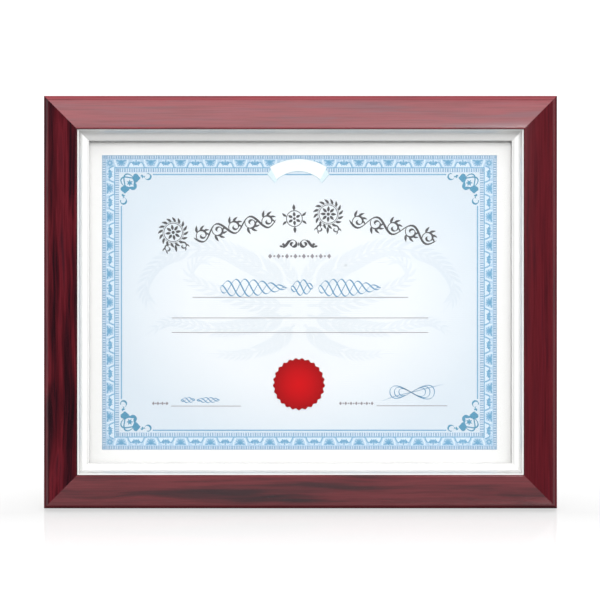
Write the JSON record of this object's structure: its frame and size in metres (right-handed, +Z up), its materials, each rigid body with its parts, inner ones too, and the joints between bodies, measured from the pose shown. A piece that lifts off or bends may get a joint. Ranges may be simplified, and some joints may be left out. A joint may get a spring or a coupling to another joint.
{
  "type": "certificate frame",
  "caption": "Mahogany frame with a silver liner and glass round a printed certificate with a red seal, standing on a folding easel leg.",
  "frame": {"origin": "centre of the assembly's footprint on the table, at table height", "axes": "+Z up from the table, -Y towards the viewer on the glazed side, +X to the viewer's right along the long side; the frame leans back 12 degrees"},
  "size_m": [0.324, 0.0869, 0.2569],
  "materials": {
    "lacquered_wood": "mahogany stain under gloss lacquer",
    "silver_liner": "satin silver foil on a wooden slip",
    "glass": "clear float glass",
    "certificate_paper": "printed parchment paper",
    "seal_foil": "embossed red foil paper",
    "greyboard": "raw grey card",
    "black_board": "black paper over fibreboard",
    "zinc_plated_steel": "bright zinc plate",
    "brassed_steel": "brass plate on pressed steel"
  },
  "bodies": {
    "frame": {"top_rail": "lacquered_wood", "bottom_rail": "lacquered_wood", "left_rail": "lacquered_wood", "right_rail": "lacquered_wood", "top_liner": "silver_liner", "bottom_liner": "silver_liner", "left_liner": "silver_liner", "right_liner": "silver_liner", "corner_nails": "zinc_plated_steel", "glazing": "glass", "certificate": "certificate_paper", "wafer_seal": "seal_foil", "filler_card": "greyboard", "backing_board": "black_board", "hinge_board_leaf": "zinc_plated_steel", "hinge_pin": "zinc_plated_steel", "board_rivets": "zinc_plated_steel", "turn_button_screws": "zinc_plated_steel", "sawtooth_hanger": "brassed_steel", "hanger_nails": "brassed_steel"},
    "leg": {"easel_leg": "black_board", "hinge_leg_leaf": "zinc_plated_steel", "leg_rivets": "zinc_plated_steel"},
    "turn_button_top_left": {"turn_button_top_left": "zinc_plated_steel"},
    "turn_button_top_right": {"turn_button_top_right": "zinc_plated_steel"},
    "turn_button_bottom_left": {"turn_button_bottom_left": "zinc_plated_steel"},
    "turn_button_bottom_right": {"turn_button_bottom_right": "zinc_plated_steel"},
    "turn_button_left": {"turn_button_left": "zinc_plated_steel"},
    "turn_button_right": {"turn_button_right": "zinc_plated_steel"}
  },
  "joints": [
    {"name": "leg_hinge", "type": "hinge", "parent": "frame", "child": "leg", "pos_m": [0, 0.00624, 0.16099], "axis": [1, 0, 0], "range_deg": [-24, 0]},
    {"name": "turn_button_top_left_pivot", "type": "hinge", "parent": "frame", "child": "turn_button_top_left", "pos_m": [-0.092, 0.02094, 0.23955], "axis": [0, 0.9781, -0.2079], "continuous": true},
    {"name": "turn_button_top_right_pivot", "type": "hinge", "parent": "frame", "child": "turn_button_top_right", "pos_m": [0.092, 0.02094, 0.23955], "axis": [0, 0.9781, -0.2079], "continuous": true},
    {"name": "turn_button_bottom_left_pivot", "type": "hinge", "parent": "frame", "child": "turn_button_bottom_left", "pos_m": [-0.092, -0.02675, 0.01516], "axis": [0, 0.9781, -0.2079], "continuous": true},
    {"name": "turn_button_bottom_right_pivot", "type": "hinge", "parent": "frame", "child": "turn_button_bottom_right", "pos_m": [0.092, -0.02675, 0.01516], "axis": [0, 0.9781, -0.2079], "continuous": true},
    {"name": "turn_button_left_pivot", "type": "hinge", "parent": "frame", "child": "turn_button_left", "pos_m": [-0.14645, -0.00291, 0.12735], "axis": [0, 0.9781, -0.2079], "continuous": true},
    {"name": "turn_button_right_pivot", "type": "hinge", "parent": "frame", "child": "turn_button_right", "pos_m": [0.14645, -0.00291, 0.12735], "axis": [0, 0.9781, -0.2079], "continuous": true}
  ]
}
